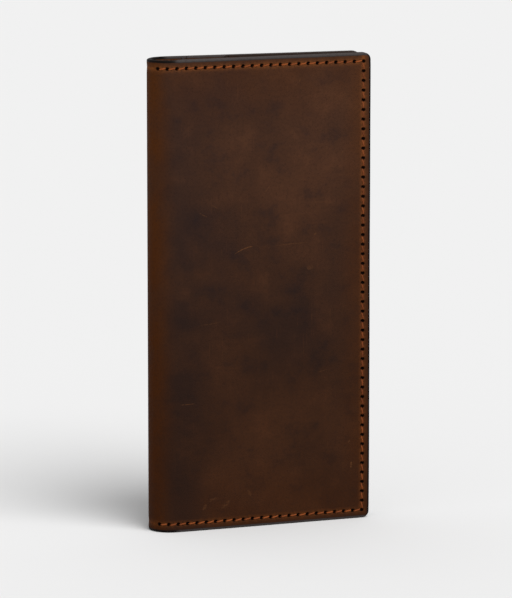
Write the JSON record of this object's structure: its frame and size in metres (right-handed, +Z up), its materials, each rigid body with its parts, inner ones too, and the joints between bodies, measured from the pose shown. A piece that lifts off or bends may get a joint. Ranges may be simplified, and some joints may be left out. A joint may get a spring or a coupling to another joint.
{
  "type": "long wallet",
  "caption": "Long leather wallet that opens like a book about a rolled fold, with card pockets in one half and a bill and a slip pocket in the other.",
  "frame": {"origin": "under the middle of the closed wallet's box, on the surface it stands on", "axes": "+Z up the length, along the fold; +X from the fold to the open edge; +Y from the front cover to the back cover"},
  "size_m": [0.092, 0.0172, 0.19],
  "materials": {
    "cover_leather": "dark brown oiled pull-up leather, semi-matt, burnished dark edges",
    "panel_leather": "brown oiled leather panel, semi-matt",
    "pocket_leather": "thin brown oiled leather, semi-matt",
    "saddle_thread": "waxed orange-brown twisted thread"
  },
  "bodies": {
    "back_half": {"cover_back": "cover_leather", "bill_panel": "panel_leather", "slip_pocket": "pocket_leather", "thread_back": "saddle_thread"},
    "spine": {"cover_spine": "cover_leather", "thread_spine": "saddle_thread"},
    "front_half": {"cover_front": "cover_leather", "card_panel": "panel_leather", "card_facing": "pocket_leather", "card_pocket_lower_1": "pocket_leather", "card_pocket_lower_2": "pocket_leather", "card_pocket_lower_3": "pocket_leather", "card_pocket_upper_1": "pocket_leather", "card_pocket_upper_2": "pocket_leather", "card_pocket_upper_3": "pocket_leather", "thread_front": "saddle_thread", "thread_divider_lower": "saddle_thread", "thread_divider_upper": "saddle_thread", "thread_foot_lower_1": "saddle_thread", "thread_foot_lower_2": "saddle_thread", "thread_foot_lower_3": "saddle_thread", "thread_foot_upper_1": "saddle_thread", "thread_foot_upper_2": "saddle_thread", "thread_foot_upper_3": "saddle_thread"}
  },
  "joints": [
    {"name": "fold_back", "type": "hinge", "parent": "back_half", "child": "spine", "pos_m": [-0.04352, 0.00588, 0], "axis": [0, 0, -1], "range_deg": [0, 92.25]},
    {"name": "fold_front", "type": "hinge", "parent": "spine", "child": "front_half", "pos_m": [-0.04304, -0.00634, 0], "axis": [0, 0, -1], "range_deg": [0, 92.25]}
  ],
  "couplings": [
    {"joint": "fold_front", "follows": "fold_back", "ratio": 1}
  ]
}
